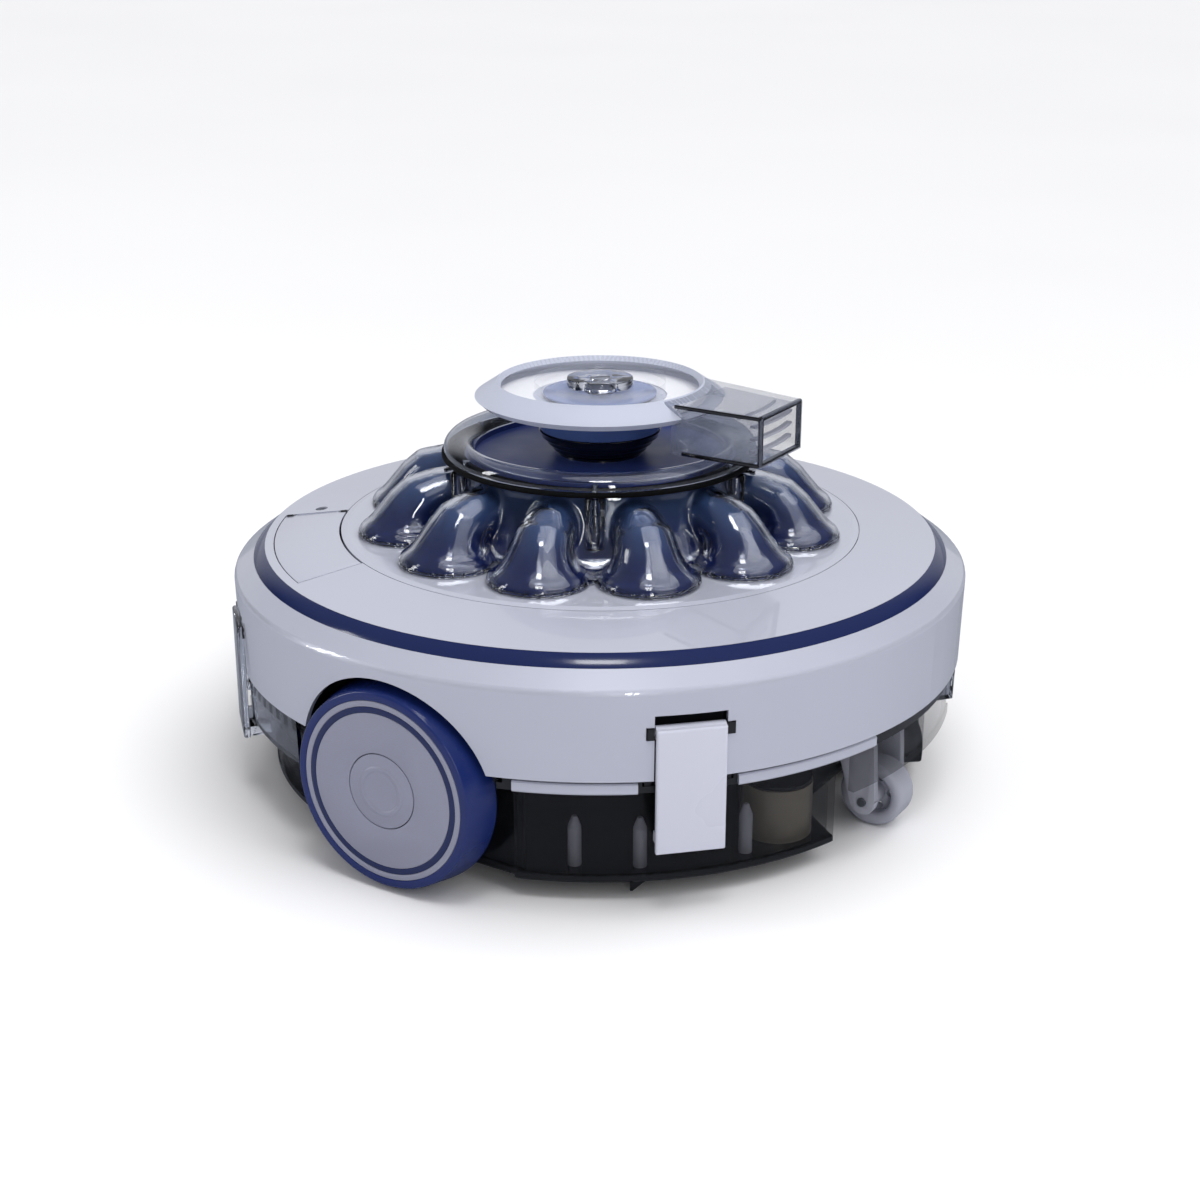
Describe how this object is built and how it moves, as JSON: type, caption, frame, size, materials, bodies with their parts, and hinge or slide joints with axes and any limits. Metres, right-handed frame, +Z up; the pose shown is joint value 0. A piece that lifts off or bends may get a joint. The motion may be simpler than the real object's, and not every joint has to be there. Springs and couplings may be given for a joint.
{
  "type": "pool cleaner",
  "caption": "Round cordless pool-floor cleaner with side wheels, casters, smoked dust tray, clear lobed pump dome and a swivelling jet nozzle on top.",
  "frame": {"origin": "on the floor, centred under the machine's vertical axis", "axes": "+X front, where the nozzle points at rest; Y along the wheel axle; +Z up"},
  "size_m": [0.35, 0.3536, 0.1913],
  "materials": {
    "shell_silver": "moulded, satin gloss",
    "hub_silver": "moulded, satin",
    "navy_gloss": "moulded, glossy",
    "navy_tyre": "moulded, glossy",
    "clear_plastic": "clear, polished",
    "navy_clear": "tinted, polished",
    "frosted_white": "milky, glossy",
    "latch_white": "moulded, satin",
    "smoked_plastic": "smoked, polished",
    "dark_plastic": "moulded, fine texture",
    "grey_plastic": "moulded",
    "bronze_tube": "satin",
    "steel": "turned",
    "screen_mesh": "woven mesh",
    "rubber": "moulded",
    "cell_wrap": "shrink wrap",
    "board": "lacquered",
    "lamp": "smoked lens"
  },
  "bodies": {
    "hull": {"side_skirt": "shell_silver", "top_cover": "shell_silver", "centre_deck": "shell_silver", "lip_strips": "shell_silver", "trim_band": "navy_gloss", "clear_dome": "clear_plastic", "dome_collar": "clear_plastic", "clear_bands": "clear_plastic", "pump_housing": "navy_clear", "pump_lid": "navy_clear", "dust_tray": "smoked_plastic", "caster_shrouds": "smoked_plastic", "wheel_wells": "smoked_plastic", "outlet_bowl": "smoked_plastic", "base_plate": "dark_plastic", "suction_tube": "dark_plastic", "hatch_well": "dark_plastic", "latch_pockets": "dark_plastic", "filter_frame": "dark_plastic", "charging_socket": "dark_plastic", "caster_brackets": "grey_plastic", "guide_pins": "grey_plastic", "swivel_post": "grey_plastic", "inlet_tubes": "bronze_tube", "axles": "steel", "hinge_pins": "steel", "screws": "steel", "pump_motor": "steel", "filter_screen": "screen_mesh", "rubber_seals": "rubber", "battery_packs": "cell_wrap", "control_board": "board", "status_led": "lamp"},
    "right_wheel": {"right_tyre": "navy_tyre", "right_hub_disc": "hub_silver", "right_trim_ring": "navy_gloss", "right_centre_cap": "hub_silver"},
    "left_wheel": {"left_tyre": "navy_tyre", "left_hub_disc": "hub_silver", "left_trim_ring": "navy_gloss", "left_centre_cap": "hub_silver"},
    "front_caster": {"roller_front": "grey_plastic"},
    "rear_caster": {"roller_rear": "grey_plastic"},
    "nozzle": {"nozzle_shell": "frosted_white", "nozzle_duct": "clear_plastic", "outlet_grille": "grey_plastic", "nozzle_top_plate": "clear_plastic", "nozzle_window": "clear_plastic", "nozzle_hub": "navy_clear"},
    "knob": {"lock_knob": "clear_plastic"},
    "rotor": {"impeller": "grey_plastic"},
    "front_right_latch": {"latch_front_right": "latch_white"},
    "rear_right_latch": {"latch_rear_right": "clear_plastic"},
    "front_left_latch": {"latch_front_left": "clear_plastic"},
    "rear_left_latch": {"latch_rear_left": "latch_white"},
    "hatch": {"hatch_lid": "shell_silver"},
    "button": {"power_button": "dark_plastic"},
    "front_flap": {"inlet_flap_front": "dark_plastic"},
    "rear_flap": {"inlet_flap_rear": "dark_plastic"}
  },
  "joints": [
    {"name": "right_wheel_roll", "type": "hinge", "parent": "hull", "child": "right_wheel", "pos_m": [0, -0.17, 0.048], "axis": [0, 1, 0], "continuous": true},
    {"name": "left_wheel_roll", "type": "hinge", "parent": "hull", "child": "left_wheel", "pos_m": [0, 0.17, 0.048], "axis": [0, 1, 0], "continuous": true},
    {"name": "front_caster_roll", "type": "hinge", "parent": "hull", "child": "front_caster", "pos_m": [0.151, 0, 0.0155], "axis": [0, 1, 0], "continuous": true},
    {"name": "rear_caster_roll", "type": "hinge", "parent": "hull", "child": "rear_caster", "pos_m": [-0.151, 0, 0.0155], "axis": [0, 1, 0], "continuous": true},
    {"name": "nozzle_swivel", "type": "hinge", "parent": "hull", "child": "nozzle", "pos_m": [0, 0, 0.18], "axis": [0, 0, 1], "range_deg": [0, 180]},
    {"name": "knob_turn", "type": "hinge", "parent": "hull", "child": "knob", "pos_m": [0, 0, 0.189], "axis": [0, 0, 1], "range_deg": [0, 90]},
    {"name": "impeller_spin", "type": "hinge", "parent": "hull", "child": "rotor", "pos_m": [0, 0, 0.13], "axis": [0, 0, 1], "continuous": true},
    {"name": "front_right_latch_swing", "type": "hinge", "parent": "hull", "child": "front_right_latch", "pos_m": [0.12012, -0.12352, 0.085], "axis": [-0.7169, -0.6972, 0], "range_deg": [0, 75]},
    {"name": "rear_right_latch_swing", "type": "hinge", "parent": "hull", "child": "rear_right_latch", "pos_m": [-0.12012, -0.12352, 0.085], "axis": [-0.7169, 0.6972, 0], "range_deg": [0, 75]},
    {"name": "front_left_latch_swing", "type": "hinge", "parent": "hull", "child": "front_left_latch", "pos_m": [0.12012, 0.12352, 0.085], "axis": [0.7169, -0.6972, 0], "range_deg": [0, 75]},
    {"name": "rear_left_latch_swing", "type": "hinge", "parent": "hull", "child": "rear_left_latch", "pos_m": [-0.12012, 0.12352, 0.085], "axis": [0.7169, 0.6972, 0], "range_deg": [0, 75]},
    {"name": "hatch_open", "type": "hinge", "parent": "hull", "child": "hatch", "pos_m": [-0.12725, -0.0584, 0.11702], "axis": [-0.9059, -0.4033, -0.1291], "range_deg": [0, 80]},
    {"name": "button_press", "type": "slide", "parent": "hull", "child": "button", "axis": [0, 0, -1], "range_m": [0, 0.0015], "stiffness_N_per_m": 400, "springref_m": -0.001},
    {"name": "front_flap_lift", "type": "hinge", "parent": "hull", "child": "front_flap", "pos_m": [0.10809, -0.04633, 0.0386], "axis": [-0.3939, -0.9191, 0], "range_deg": [0, 20]},
    {"name": "rear_flap_lift", "type": "hinge", "parent": "hull", "child": "rear_flap", "pos_m": [-0.10809, 0.04633, 0.0386], "axis": [0.3939, 0.9191, 0], "range_deg": [0, 20]}
  ]
}
